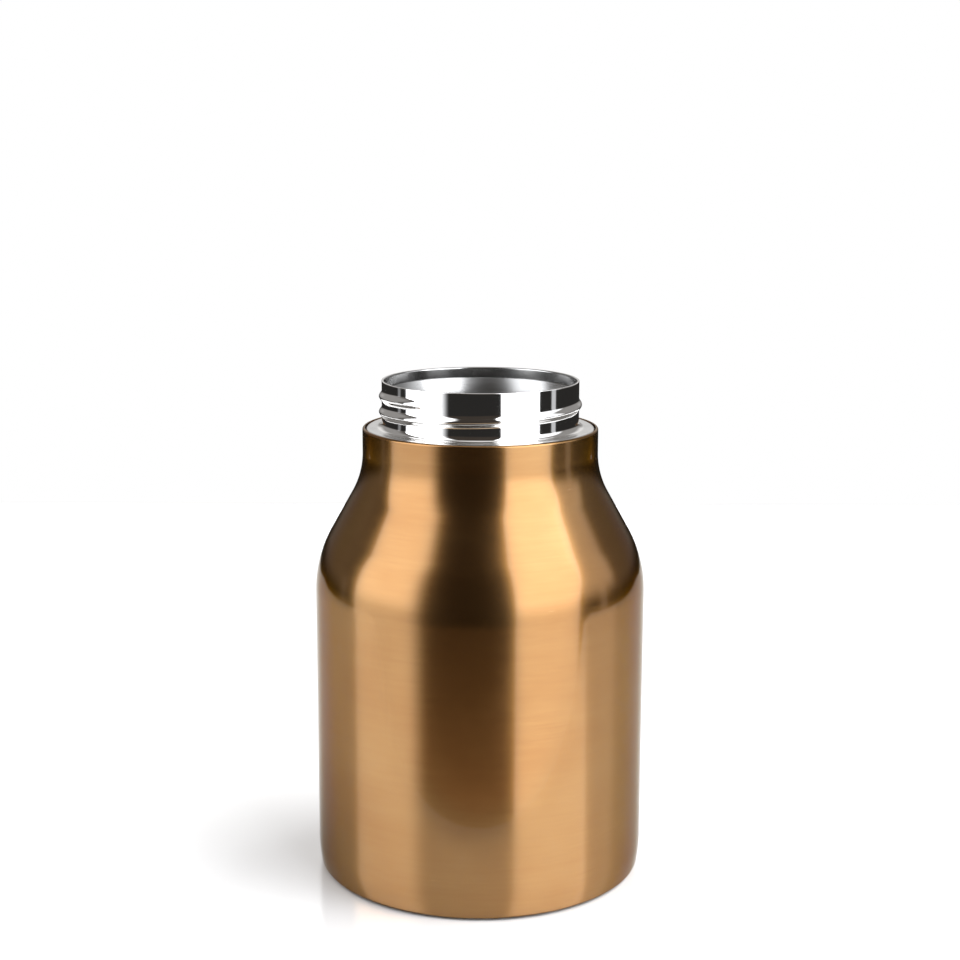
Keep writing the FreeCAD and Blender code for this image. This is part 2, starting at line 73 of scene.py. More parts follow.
class Value:
    """A socket of a node tree that takes part in Python arithmetic."""

    def __init__(self, graph: "Graph", socket: bpy.types.NodeSocket) -> None:
        """Wrap an output socket of a node in the graph."""
        self.graph = graph
        self.socket = socket

    def __add__(self, other: "Value | float") -> "Value":
        """This value plus another."""
        return self.graph.math("ADD", self, other)

    def __radd__(self, other: float) -> "Value":
        """A number plus this value."""
        return self.graph.math("ADD", other, self)

    def __sub__(self, other: "Value | float") -> "Value":
        """This value less another."""
        return self.graph.math("SUBTRACT", self, other)

    def __rsub__(self, other: float) -> "Value":
        """A number less this value."""
        return self.graph.math("SUBTRACT", other, self)

    def __mul__(self, other: "Value | float") -> "Value":
        """This value times another."""
        return self.graph.math("MULTIPLY", self, other)

    def __rmul__(self, other: float) -> "Value":
        """A number times this value."""
        return self.graph.math("MULTIPLY", other, self)

    def __truediv__(self, other: "Value | float") -> "Value":
        """This value over another."""
        return self.graph.math("DIVIDE", self, other)

    def __abs__(self) -> "Value":
        """This value without its sign."""
        return self.graph.math("ABSOLUTE", self)

    def power(self, exponent: float) -> "Value":
        """This value raised to a power."""
        return self.graph.math("POWER", self, exponent)

    def step(self, low: float, high: float) -> "Value":
        """A smooth step from 0 at low to 1 at high; low may be the larger of the two.

        Args:
            low: value at which the step is 0.
            high: value at which the step is 1.

        Returns:
            The step, held between 0 and 1.
        """
        rising = low < high
        ends = (low, high) if rising else (high, low)
        node = self.graph.node(
            "ShaderNodeMapRange",
            {"interpolation_type": "SMOOTHSTEP"},
            {"Value": self, "From Min": ends[0], "From Max": ends[1]},
        )
        step = node.out("Result")
        return step if rising else 1.0 - step

    def window(self, start: float, stop: float, soft: float) -> "Value":
        """1 between two values and 0 outside them, with soft edges of a given width."""
        half = soft / 2
        return self.step(start - half, start + half) * self.step(stop + half, stop - half)


@dataclass(frozen=True)
class Node:
    """A node that was just made, whose outputs are read by name or number."""

    graph: "Graph"
    made: bpy.types.Node

    def out(self, name: str | int) -> Value:
        """The output with that name or number."""
        return Value(self.graph, self.made.outputs[name])


class Graph:
    """Builds one node tree."""

    def __init__(self, tree: bpy.types.NodeTree) -> None:
        """Start from an emptied tree."""
        self.tree = tree
        tree.nodes.clear()

    def node(
        self,
        kind: str,
        settings: dict[str, Any] | None = None,
        inputs: dict[str | int, Any] | None = None,
    ) -> Node:
        """Add a node.

        Args:
            kind: the node's type name.
            settings: attributes of the node, set before its sockets.
            inputs: a number, colour or Value for each named or numbered input socket.

        Returns:
            The node that was added.
        """
        made = self.tree.nodes.new(kind)
        for name, value in (settings or {}).items():
            setattr(made, name, value)
        for name, value in (inputs or {}).items():
            socket = made.inputs[name]
            if isinstance(value, Value):
                self.tree.links.new(value.socket, socket)
            elif isinstance(value, tuple) and socket.type == "RGBA":
                socket.default_value = (*value, 1.0)
            else:
                socket.default_value = value
        return Node(self, made)

    def math(self, operation: str, *values: "Value | float") -> Value:
        """One Math node on up to three values."""
        inputs = dict(enumerate(values))
        return self.node("ShaderNodeMath", {"operation": operation}, inputs).out("Value")

    def combine(self, x: "Value | float", y: "Value | float", z: "Value | float") -> Value:
        """A vector from three values."""
        return self.node("ShaderNodeCombineXYZ", None, {"X": x, "Y": y, "Z": z}).out("Vector")

    def noise(
        self, vector: Value, scale: float = 1.0, detail: float = 2.0, w: "Value | float" = 0.0
    ) -> Value:
        """Smooth noise at a place in four dimensions.

        Args:
            vector: the first three coordinates.
            scale: how finely the noise changes.
            detail: octaves of finer noise.
            w: the fourth coordinate.

        Returns:
            Noise between 0 and 1.
        """
        return self.node(
            "ShaderNodeTexNoise",
            {"noise_dimensions": "4D"},
            {"Vector": vector, "W": w, "Scale": scale, "Detail": detail},
        ).out("Fac")

    def blend(self, share: "Value | float", first: Colour | Value, second: Colour | Value) -> Value:
        """A colour between two others.

        Args:
            share: how much of the second colour there is, from 0 to 1.
            first: the colour at 0.
            second: the colour at 1.

        Returns:
            The blended colour.
        """
        inputs = {MIX_SHARE: share, MIX_FIRST: first, MIX_SECOND: second}
        return self.node("ShaderNodeMix", {"data_type": "RGBA"}, inputs).out(MIX_RESULT)

    def tinted(self, base: Value, amount: Value, tint: Colour) -> Value:
        """A colour plus some of a tint."""
        inputs = {0: amount, 1: tint, 2: base}
        return self.node("ShaderNodeVectorMath", {"operation": "MULTIPLY_ADD"}, inputs).out("Vector")


class Turning:
    """Coordinates of a surface that was turned about the Z axis, in millimetres."""

    def __init__(self, graph: Graph) -> None:
        """Split the object's own coordinates into radius, height and heading.

        Args:
            graph: the material's nodes.
        """
        self.graph = graph
        position = graph.node("ShaderNodeTexCoord").out("Object")
        self.position = graph.node(
            "ShaderNodeVectorMath", {"operation": "SCALE"}, {0: position, "Scale": 1 / MM}
        ).out("Vector")
        parts = graph.node("ShaderNodeSeparateXYZ", None, {"Vector": self.position})
        x, y = parts.out("X"), parts.out("Y")
        self.height = parts.out("Z")
        self.radius = graph.math("SQRT", x * x + y * y + AXIS_GUARD)
        self.heading_x = x / self.radius
        self.heading_y = y / self.radius

    def marks(self, length: float, width: float, around: float, detail: float = 2.0) -> Value:
        """Fine tool marks that run round the axis.

        Args:
            length: length of a mark along its circle.
            width: distance between marks, up the wall or across a disc.
            around: typical radius of the surface.
            detail: octaves of finer marks.

        Returns:
            Noise between 0 and 1.
        """
        turns = around / length
        vector = self.graph.combine(
            self.heading_x * turns, self.heading_y * turns, self.height * (1 / width)
        )
        return self.graph.noise(vector, 1.0, detail, self.radius * (1 / width))

    def mottle(self, size: float, detail: float = 2.0) -> Value:
        """Cloudy variation with patches of a given size."""
        return self.graph.noise(self.position, 1 / size, detail)


@dataclass(frozen=True)
class Skin:
    """What changes over a finished surface."""

    tint: Value
    roughness: Value
    relief: Value  # height of the fine relief, as a share of its depth
    depth: float


@dataclass(frozen=True)
class Finish:
    """A finish; every kind says what varies over its surface."""

    name: str

    def make(self) -> bpy.types.Material:
        """Make the material.

        Returns:
            The finished material.
        """
        material = bpy.data.materials.new(self.name)
        material.use_nodes = True
        graph = Graph(material.node_tree)
        skin = self.skin(graph, Turning(graph))
        bump = graph.node(
            "ShaderNodeBump", None,
            {"Strength": 1.0, "Distance": skin.depth * MM, "Height": skin.relief},
        )
        varied = {
            "Base Color": skin.tint,
            "Roughness": skin.roughness,
            "Normal": bump.out("Normal"),
        }
        shader = graph.node("ShaderNodeBsdfPrincipled", None, self.fixed() | varied)
        graph.node("ShaderNodeOutputMaterial", None, {"Surface": shader.out("BSDF")})
        return material

    def fixed(self) -> dict[str, Any]:
        """What is the same all over: bare metal, unless a finish says otherwise."""
        return {"Metallic": 1.0}

    def skin(self, graph: Graph, turning: Turning) -> Skin:
        """What varies over the surface.

        Args:
            graph: the material's nodes.
            turning: places on the surface.

        Returns:
            The skin.
        """
        raise NotImplementedError


@dataclass(frozen=True)
class CopperLacquer(Finish):
    """Transparent copper lacquer baked on steel that was brushed round its axis."""

    deep: Colour = (0.220, 0.104, 0.031)  # where the lacquer is thick
    light: Colour = (0.268, 0.148, 0.053)  # where it is thin
    scratched: Colour = (0.45, 0.27, 0.13)
    grazing: Colour = (0.42, 0.34, 0.22)  # tint of light that only grazes the wall
    roughness: float = 0.215
    around: float = 45.0  # radius of the wall

    def fixed(self) -> dict[str, Any]:
        """A clear, glossy top layer over brushed metal."""
        return {
            "Metallic": 1.0,
            "Anisotropic": 0.25,
            "Anisotropic Rotation": 0.25,
            "Specular Tint": self.grazing,
            "Coat Weight": 0.5,
            "Coat Roughness": 0.05,
            "Coat IOR": 1.45,
        }

    def skin(self, graph: Graph, turning: Turning) -> Skin:
        """Brush marks, cloudy lacquer thickness and a few handling scratches."""
        fine = turning.marks(length=9.0, width=0.22, around=self.around, detail=3.0)
        broad = turning.marks(length=60.0, width=1.6, around=self.around)
        clouds = turning.mottle(size=34.0, detail=3.0)
        share = (fine * 0.30 + broad * 0.15 + clouds * 0.85 - 0.15).step(0.2, 0.8)
        scratches = self.scratches(turning)
        tint = graph.blend(share, self.deep, self.light)
        tint = graph.blend(scratches * 0.35, tint, self.scratched)
        smears = turning.mottle(size=13.0, detail=4.0).step(0.42, 0.72)
        rough = self.roughness + (fine - 0.5) * 0.06 + smears * 0.025 + scratches * 0.08
        relief = fine + broad * 0.08 + scratches * 0.7
        return Skin(tint, rough, relief, depth=0.0018)

    def scratches(self, turning: Turning) -> Value:
        """Sparse short scratches round the axis: 1 in a scratch and 0 beside it."""
        lines = turning.marks(length=5.0, width=0.16, around=self.around, detail=0.0)
        return lines.step(0.80, 0.88) * turning.mottle(size=9.0, detail=1.0).step(0.56, 0.68)


class Polish(Enum):
    """How far a steel surface has been worked, as a mean roughness."""

    MIRROR = 0.045
    LAPPED = 0.15
    ELECTRO = 0.27
    SATIN = 0.30
    MILL = 0.38


@dataclass(frozen=True)
class NeckSteel(Finish):
    """Steel neck: mirror outside, lapped on the flat shoulder and unpolished inside the mouth, where
    its tint is also painted darker as shade.
    """

    shoulder_height: float
    ledge_radius: float = 27.6  # where the flat shoulder begins
    ledge_soft: float = 0.5
    ledge_top: Fade = (1.1, 0.5)  # heights above it where lapping has gone, and is still full
    inner_radius: float = 26.25  # within it a surface is inside the mouth
    inner_soft: float = 0.2
    tint: Colour = (0.80, 0.79, 0.775)
    dull: Colour = (0.60, 0.60, 0.59)  # lapped steel and stains
    # rougher steel inside the mouth; its dark grey is partly painted shade
    unpolished_and_shaded: Colour = (0.34, 0.34, 0.336)

    def skin(self, graph: Graph, turning: Turning) -> Skin:
        """Duller steel on the shoulder, rougher steel inside the mouth with a darker tint that is
        painted shade, lathe marks, wipe marks and stains.
        """
        ledge = turning.radius.step(self.ledge_radius, self.ledge_radius + self.ledge_soft)
        gone, full = self.ledge_top
        low = turning.height.step(self.shoulder_height + gone, self.shoulder_height + full)
        inside = turning.radius.step(self.inner_radius, self.inner_radius - self.inner_soft)
        lapped = graph.math("MAXIMUM", ledge * low, inside)
        fine = turning.marks(length=7.0, width=0.10, around=27.0)
        wipes = turning.mottle(size=2.6, detail=3.0).step(0.45, 0.75)
        stains = turning.mottle(size=7.0).step(0.50, 0.66)
        polished = Polish.MIRROR.value + wipes * 0.02 + fine * 0.015 + inside * 0.12
        worked = Polish.LAPPED.value + (fine - 0.5) * 0.10 + stains * 0.05
        rough = polished + (worked - polished) * lapped
        # inside the mouth both blends darken the tint: painted shade over rougher, unpolished steel
        tint = graph.blend(lapped * 0.8 + stains * 0.12, self.tint, self.dull)
        tint = graph.blend(inside * (0.85 + stains * 0.15), tint, self.unpolished_and_shaded)
        relief = fine * (0.25 + lapped) + wipes * 0.1
        return Skin(tint, rough, relief, depth=0.0012)


@dataclass(frozen=True)
class LinerSteel(Finish):
    """Electropolished steel inside the vessel, with a grey far darker than bare steel as painted
    shade.
    """

    # both greys are darker than the steel itself: painted shade for the inside of the vessel
    tint: Colour = (0.34, 0.338, 0.333)
    milky: Colour = (0.23, 0.229, 0.226)

    def skin(self, graph: Graph, turning: Turning) -> Skin:
        """Faint spinning marks, an orange-peel skin and a milky bloom."""
        spun = turning.marks(length=18.0, width=0.5, around=35.0, detail=3.0)
        peel = turning.mottle(size=0.9)
        bloom = turning.mottle(size=15.0, detail=3.0).step(0.42, 0.75)
        tint = graph.blend(bloom * 0.6, self.tint, self.milky)
        rough = Polish.ELECTRO.value + bloom * 0.09 + (spun - 0.5) * 0.10
        return Skin(tint, rough, spun + peel * 0.35, depth=0.0016)


@dataclass(frozen=True)
class DiscSteel(Finish):
    """Steel disc brushed while it span, with rub marks from the table."""

    tint: Colour = (0.66, 0.655, 0.64)
    rubbed: Colour = (0.48, 0.475, 0.465)
    around: float = 25.0

    def fixed(self) -> dict[str, Any]:
        """Metal that stretches its highlights across the grooves."""
        return {"Metallic": 1.0, "Anisotropic": 0.6, "Anisotropic Rotation": 0.25}

    def skin(self, graph: Graph, turning: Turning) -> Skin:
        """Concentric grooves and dull rub marks."""
        grooves = turning.marks(length=30.0, width=0.18, around=self.around, detail=3.0)
        rubs = turning.mottle(size=5.0, detail=4.0).step(0.5, 0.7)
        tint = graph.blend(rubs * 0.5, self.tint, self.rubbed)
        rough = Polish.SATIN.value + (grooves - 0.5) * 0.14 + rubs * 0.08
        return Skin(tint, rough, grooves, depth=0.004)


@dataclass(frozen=True)
class MillSteel(Finish):
    """Unpolished pressed steel with rolling marks and heat tint beside the weld."""

    tint: Colour = (0.56, 0.555, 0.54)
    heat: Colour = (0.42, 0.30, 0.17)
    heat_radius: float = 43.0
    heat_width: float = 2.5
    rolling: tuple[float, float, float] = (0.25, 14.0, 0.25)  # size of a rolling mark

    def skin(self, graph: Graph, turning: Turning) -> Skin:
        """Straight rolling lines, press marks and a straw-coloured weld edge."""
        stretched = graph.node(
            "ShaderNodeMapping", {"vector_type": "TEXTURE"},
            {"Vector": turning.position, "Scale": self.rolling},
        ).out("Vector")
        rolled = graph.noise(stretched, detail=3.0)
        blotches = turning.mottle(size=4.0, detail=3.0).step(0.4, 0.7)
        edge = turning.radius.step(self.heat_radius - self.heat_width, self.heat_radius)
        tint = graph.blend(edge * 0.7 + blotches * 0.1, self.tint, self.heat)
        rough = Polish.MILL.value + (rolled - 0.5) * 0.16 + blotches * 0.05
        return Skin(tint, rough, rolled + blotches * 0.4, depth=0.003)


@dataclass(frozen=True)
class CopperFoil(Finish):
    """Thin copper foil with wrapping creases."""

    tint: Colour = (0.86, 0.50, 0.33)
    tarnished: Colour = (0.55, 0.27, 0.16)
    creases_per_mm: float = 0.09

    def skin(self, graph: Graph, turning: Turning) -> Skin:
        """Creases from wrapping, fingerprints and slight tarnish."""
        creases = graph.node(
            "ShaderNodeTexVoronoi", {"feature": "DISTANCE_TO_EDGE"},
            {"Vector": turning.position, "Scale": self.creases_per_mm},
        ).out("Distance").step(0.0, 0.22)
        tarnish = turning.mottle(size=11.0, detail=4.0).step(0.45, 0.75)
        tint = graph.blend(tarnish * 0.6, self.tint, self.tarnished)
        relief = creases + turning.mottle(size=2.0) * 0.3
        return Skin(tint, 0.18 + tarnish * 0.2, relief, depth=0.05)


@dataclass(frozen=True)
class Moulded(Finish):
    """A moulded, pressed or cast surface: rubber, foam, powder or sealing glass."""

    light: Colour  # palest grains
    dark: Colour  # darkest grains
    roughness: float
    grain: float  # size of a grain
    depth: float  # of the relief between grains
    metallic: float = 0.0

    def fixed(self) -> dict[str, Any]:
        """Its share of metal."""
        return {"Metallic": self.metallic}

    def skin(self, graph: Graph, turning: Turning) -> Skin:
        """Grain with cloudy patches."""
        grains = turning.mottle(size=self.grain, detail=3.0)
        clouds = turning.mottle(size=self.grain * 9.0)
        tint = graph.blend((grains * 0.6 + clouds * 0.4).step(0.3, 0.7), self.dark, self.light)
        return Skin(tint, self.roughness + (clouds - 0.5) * 0.16, grains, self.depth)


SILICONE = Moulded(
    "grey silicone", light=(0.24, 0.24, 0.235), dark=(0.17, 0.17, 0.168),
    roughness=0.62, grain=0.25, depth=0.01,
)
SEALING_GLASS = Moulded(
    "sealing glass", light=(0.13, 0.15, 0.16), dark=(0.07, 0.08, 0.09),
    roughness=0.22, grain=0.5, depth=0.01,
)
GETTER_POWDER = Moulded(
    "getter powder", light=(0.23, 0.225, 0.22), dark=(0.11, 0.108, 0.105),
    roughness=0.85, grain=0.12, depth=0.03, metallic=0.3,
)
FOAM = Moulded(
    "foam tape", light=(0.80, 0.79, 0.75), dark=(0.62, 0.61, 0.57),
    roughness=0.92, grain=0.35, depth=0.06,
)


# --------------------------------------------------------------------------------------- geometry


@dataclass(frozen=True)
class Corner:
    """A corner of a section, given before its bend is rounded."""

    radius: float  # distance from the Z axis
    height: float  # level above the table
    rounding: float = 0.0  # radius of the bend, 0 for a sharp corner

    @property
    def point(self) -> Vector:
        """The corner in the section's plane."""
        return Vector((self.radius, self.height))


@dataclass(frozen=True)
class Bend:
    """The arc that rounds a corner."""

    first: Vector  # where it leaves the line before the corner
    last: Vector  # where it joins the line after the corner
    centre: Vector
    turn: float  # signed angle from first to last, positive to the left


def arms(corners: list[Corner], index: int) -> tuple[Vector, Vector]:
    """Look from a corner towards its neighbours.

    Args:
        corners: the outline.
        index: which corner.

    Returns:
        Unit vectors towards the corner before and the corner after.
    """
    here = corners[index].point
    back = (corners[index - 1].point - here).normalized()
    ahead = (corners[(index + 1) % len(corners)].point - here).normalized()
    return back, ahead


def side(back: Vector, ahead: Vector) -> int:
    """1 where an outline turns left at a corner, and -1 where it turns right."""
    return 1 if ahead.x * back.y - ahead.y * back.x > 0 else -1


def bend_at(corners: list[Corner], index: int) -> Bend:
    """Work out the rounding of a corner.

    Args:
        corners: the outline.
        index: which corner.

    Returns:
        The arc that rounds it.
    """
    here, rounding = corners[index].point, corners[index].rounding
    back, ahead = arms(corners, index)
    half = back.angle(ahead) / 2
    reach = rounding / math.tan(half)
    centre = here + (back + ahead).normalized() * (rounding / math.sin(half))
    turn = (math.pi - 2 * half) * side(back, ahead)
    return Bend(here + back * reach, here + ahead * reach, centre, turn)


def sheet_wall(corners: list[Corner], wall: float, deburr: float = 0.0) -> list[Corner]:
    """Close an outline into the section of a sheet that lies to the left of it.

    Args:
        corners: one face of the sheet, end to end.
        wall: thickness of the sheet.
        deburr: rounding of the sheet's cut edges, where they are off the axis.

    Returns:
        The section's corners in order; it stays open along the axis.
    """
    front, back_face = [], []
    for index, corner in enumerate(corners):
        if index in (0, len(corners) - 1):
            edge = deburr if corner.radius > 0 else 0.0
            start, stop = corners[:2] if index == 0 else corners[-2:]
            along = (stop.point - start.point).normalized()
            shifted = corner.point + Vector((-along.y, along.x)) * wall
            front.append(Corner(corner.radius, corner.height, edge))
            back_face.append(Corner(shifted.x, shifted.y, edge))
            continue
        back, ahead = arms(corners, index)
        turn = side(back, ahead)
        shifted = corner.point + (back + ahead).normalized() * (
            turn * wall / math.sin(back.angle(ahead) / 2)
        )
        front.append(corner)
        back_face.append(Corner(shifted.x, shifted.y, max(corner.rounding - turn * wall, 0.0)))
    return front + back_face[::-1]


class Lathe:
    """Draws a section edge by edge with operators and turns it round the Z axis."""

    def __init__(self, facet: float, longest: float = NO_LIMIT) -> None:
        """Start an empty section.

        Args:
            facet: largest angle of one facet of a bend, in degrees.
            longest: longest straight edge; a longer one is divided.
        """
        self.mesh = bmesh.new()
        self.facet = math.radians(facet)
        self.longest = longest
        self.tip: bmesh.types.BMVert | None = None

    def run_to(self, point: Vector) -> None:
        """Draw a straight line from the tip, or set the first point.

        Args:
            point: where the line ends, in the section's plane.
        """
        target = Vector((point.x, 0.0, point.y))
        if self.tip is None:
            self.tip = self.mesh.verts.new(target)
            return
        span = target - self.tip.co
        if span.length < SHORTEST_EDGE:
            return
        pieces = math.ceil(span.length / self.longest)
        for _ in range(pieces):
            made = bmesh.ops.extrude_vert_indiv(self.mesh, verts=[self.tip])
            bmesh.ops.translate(self.mesh, verts=made["verts"], vec=span / pieces)
            self.tip = made["verts"][0]

    def bend(self, bend: Bend) -> None:
        """Draw an arc from the tip.

        Args:
            bend: the arc, which begins at the tip.
        """
        steps = max(FEWEST_FACETS, math.ceil(abs(bend.turn) / self.facet))
        made = bmesh.ops.spin(
            self.mesh, geom=[self.tip], cent=(bend.centre.x, 0.0, bend.centre.y),
            axis=(0.0, 1.0, 0.0), dvec=(0.0, 0.0, 0.0), angle=-bend.turn, steps=steps,
            use_merge=False, use_duplicate=False,
        )
        self.tip = next(e for e in made["geom_last"] if isinstance(e, bmesh.types.BMVert))

    def draw(self, corners: list[Corner]) -> None:
        """Draw a section.

        Args:
            corners: its corners; it is closed unless its ends are on the axis.
        """
        for index, corner in enumerate(corners):
            if corner.rounding > 0:
                bend = bend_at(corners, index)
                self.run_to(bend.first)
                self.bend(bend)
            else:
                self.run_to(corner.point)
        if corners[0].radius > 0:
            rounded = corners[0].rounding > 0
            self.run_to(bend_at(corners, 0).first if rounded else corners[0].point)
        bmesh.ops.remove_doubles(self.mesh, verts=self.mesh.verts, dist=WELD_DISTANCE)

    def turn(self, steps: int) -> None:
        """Turn the section once round the Z axis.

        Args:
            steps: number of facets round the axis.
        """
        bmesh.ops.spin(
            self.mesh, geom=self.mesh.verts[:] + self.mesh.edges[:], cent=(0.0, 0.0, 0.0),
            axis=(0.0, 0.0, 1.0), dvec=(0.0, 0.0, 0.0), angle=2 * math.pi, steps=steps,
            use_merge=True, use_duplicate=False,
        )
        bmesh.ops.remove_doubles(self.mesh, verts=self.mesh.verts, dist=WELD_DISTANCE)
        bmesh.ops.recalc_face_normals(self.mesh, faces=self.mesh.faces)

    def finish(self, name: str, sharp: float = 35.0) -> bpy.types.Object:
        """Make the object, in metres, smooth apart from its sharp edges.

        Args:
            name: name of the piece.
            sharp: angle between two faces above which their edge stays crisp, in degrees.

        Returns:
            The object, at the origin.
        """
        bmesh.ops.transform(self.mesh, matrix=Matrix.Scale(MM, 4), verts=self.mesh.verts)
        limit = math.radians(sharp)
        for face in self.mesh.faces:
            face.smooth = True
        for edge in self.mesh.edges:
            edge.smooth = len(edge.link_faces) != 2 or edge.calc_face_angle() < limit
        data = bpy.data.meshes.new(name)
        self.mesh.to_mesh(data)
        self.mesh.free()
        made = bpy.data.objects.new(name, data)
        bpy.context.scene.collection.objects.link(made)
        return made


def turned(name: str, corners: list[Corner], steps: int, facet: float) -> bpy.types.Object:
    """Make a round piece.

    Args:
        name: name of the piece.
        corners: its section.
        steps: number of facets round the axis.
        facet: largest angle of one facet of a bend, in degrees.

    Returns:
        The object, at the origin.
    """
    lathe = Lathe(facet)
    lathe.draw(corners)
    lathe.turn(steps)
    return lathe.finish(name)


@dataclass(frozen=True)
class Thread:
    """A right-handed thread rolled into the neck's wall."""

    pitch: float = 4.2  # climb in one turn
    depth: float = 0.77  # how far the ridge stands proud
    width: float = 3.1  # height of the ridge from foot to foot
    first_height: float = 126.23  # level of the ridge's middle where it begins
    first_angle: float = 118.0  # heading where it begins, from +X
    last_angle: float = 608.0  # heading where it ends, counted on from the beginning
    run_out: float = 20.0  # angle over which each end fades

    def rise(self, angle: float, height: float) -> float:
        """How far the wall is pushed out at one place.

        Args:
            angle: heading from +X, in degrees.
            height: level above the table.

        Returns:
            The push, a raised cosine across the ridge.
        """
        reach = 0.0
        heading = angle % 360.0
        while heading < self.first_angle:
            heading += 360.0
        while heading <= self.last_angle:
            middle = self.first_height + self.pitch * (heading - self.first_angle) / 360.0
            across = abs(height - middle) / (self.width / 2)
            if across < 1.0:
                ends = min(heading - self.first_angle, self.last_angle - heading)
                fade = min(1.0, ends / self.run_out)
                fade = fade * fade * (3 - 2 * fade)
                reach = max(reach, fade * self.depth * 0.5 * (1 + math.cos(math.pi * across)))
            heading += 360.0
        return reach

    def roll(self, lathe: Lathe, low: float, high: float, outermost: float) -> None:
        """Push the turned wall outwards along the thread.

        Args:
            lathe: the turned neck.
            low: level below which nothing moves.
            high: level above which nothing moves.
            outermost: radius beyond which nothing moves.
        """
        for vert in lathe.mesh.verts:
            radius = math.hypot(vert.co.x, vert.co.y)
            if low < vert.co.z < high and radius < outermost:
                angle = math.degrees(math.atan2(vert.co.y, vert.co.x))
                grown = (radius + self.rise(angle, vert.co.z)) / radius
                vert.co.x *= grown
                vert.co.y *= grown
        lathe.mesh.normal_update()


# ------------------------------------------------------------------------------------- assemblies


def place(piece: bpy.types.Object, node: str, material: bpy.types.Material) -> None:
    """Dress a piece, fix it to the container and let it stand for its CAD node.

    Args:
        piece: the finished object.
        node: name of the CAD node it stands for.
        material: its finish.
    """
    piece.data.materials.append(material)
    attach(piece, "root")
    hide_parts(node)
    LOG.info("%s stands for %s: %d faces", piece.name, node, len(piece.data.polygons))


def dress(node: str, material: bpy.types.Material) -> None:
    """Give a CAD node that stays shown its finish.

    Args:
        node: name of the CAD node.
        material: its finish.
    """
    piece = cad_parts[node]
    piece.data.materials.clear()
    piece.data.materials.append(material)
    LOG.info("%s keeps its CAD mesh, as %s", node, material.name)


@dataclass(frozen=True)
class OuterShell:
    """Lacquered outer skin: tucked-in foot, straight wall, waisted shoulder and collar."""

    body_radius: float
    shoulder_height: float
    collar_radius: float = 31.85
    wall: float = SHEET_WALL
    lip_radius: float = 31.15  # where the lip at the top ends
    foot_lip_radius: float = 41.6  # where the lip under the base ends
    stand_off: float = 0.4  # gap under the foot
    foot_run: float = 0.7  # distance of the foot's lower bend inside the wall
    foot_bend: float = 1.2
    tuck_height: float = 4.6  # where the wall starts to tuck in
    tuck_bend: float = 36.0
    waist_foot: float = 86.6  # where the shoulder starts
    waist_foot_bend: float = 32.9
    waist_top: float = 110.1  # where the collar starts
    waist_top_bend: float = 23.1
    collar_bend: float = 0.6
    deburr: float = 0.12
    steps: int = 256
    facet: float = 1.5

    def section(self) -> list[Corner]:
        """The sheet's section, from the lip under the base to the lip at the top."""
        outside = [
            Corner(self.foot_lip_radius, self.stand_off),
            Corner(self.body_radius - self.foot_run, self.stand_off, self.foot_bend),
            Corner(self.body_radius, self.tuck_height, self.tuck_bend),
            Corner(self.body_radius, self.waist_foot, self.waist_foot_bend),
            Corner(self.collar_radius, self.waist_top, self.waist_top_bend),
            Corner(self.collar_radius, self.shoulder_height, self.collar_bend),
            Corner(self.lip_radius, self.shoulder_height),
        ]
        return sheet_wall(outside, self.wall, self.deburr)

    def build(self) -> None:
        """Turn and lacquer the skin."""
        skin = turned("outer_shell_skin", self.section(), self.steps, self.facet)
        place(skin, "outer_shell", CopperLacquer("copper lacquer").make())


@dataclass(frozen=True)
class Neck:
    """Polished neck with its rolled thread, the flat shoulder round it and its skirt."""

    overall_height: float
    shoulder_height: float
    neck_radius: float = 26.6
    flange_radius: float = 31.0  # outside of the skirt
    skirt_length: float = 4.0
    wall: float = 0.7
    flange_bend: float = 0.9  # from skirt to shoulder
    foot_bend: float = 1.5  # from shoulder to neck
    rim_outside: float = 0.2
    rim_inside: float = 0.42
    thread: Thread = Thread()
    plain_foot: float = 1.4  # height above the shoulder that stays plain
    plain_rim: float = 0.3  # height below the rim that stays plain
    thread_reach: float = 0.1  # how far outside the neck a point may still be pushed out
    steps: int = 320
    facet: float = 12.0
    spacing: float = 0.26  # longest edge up the wall

    def section(self) -> list[Corner]:
        """The sheet's section, from the skirt's foot to the rounded rim and back inside."""
        outside = [
            Corner(self.flange_radius, self.shoulder_height - self.skirt_length),
            Corner(self.flange_radius, self.shoulder_height, self.flange_bend),
            Corner(self.neck_radius, self.shoulder_height, self.foot_bend),
            Corner(self.neck_radius, self.overall_height),
        ]
        section = sheet_wall(outside, self.wall)
        rim = len(outside)
        section[rim - 1] = Corner(self.neck_radius, self.overall_height, self.rim_outside)
        section[rim] = Corner(self.neck_radius - self.wall, self.overall_height, self.rim_inside)
        return section

    def build(self) -> None:
        """Turn the neck, roll its thread and polish it."""
        lathe = Lathe(self.facet, self.spacing)
        lathe.draw(self.section())
        lathe.turn(self.steps)
        low = self.shoulder_height + self.plain_foot
        high = self.overall_height - self.plain_rim
        self.thread.roll(lathe, low, high, self.neck_radius + self.thread_reach)
        neck = lathe.finish("neck_ring_polished")
        steel = NeckSteel("neck steel", self.shoulder_height)
        place(neck, "neck_ring", steel.make())


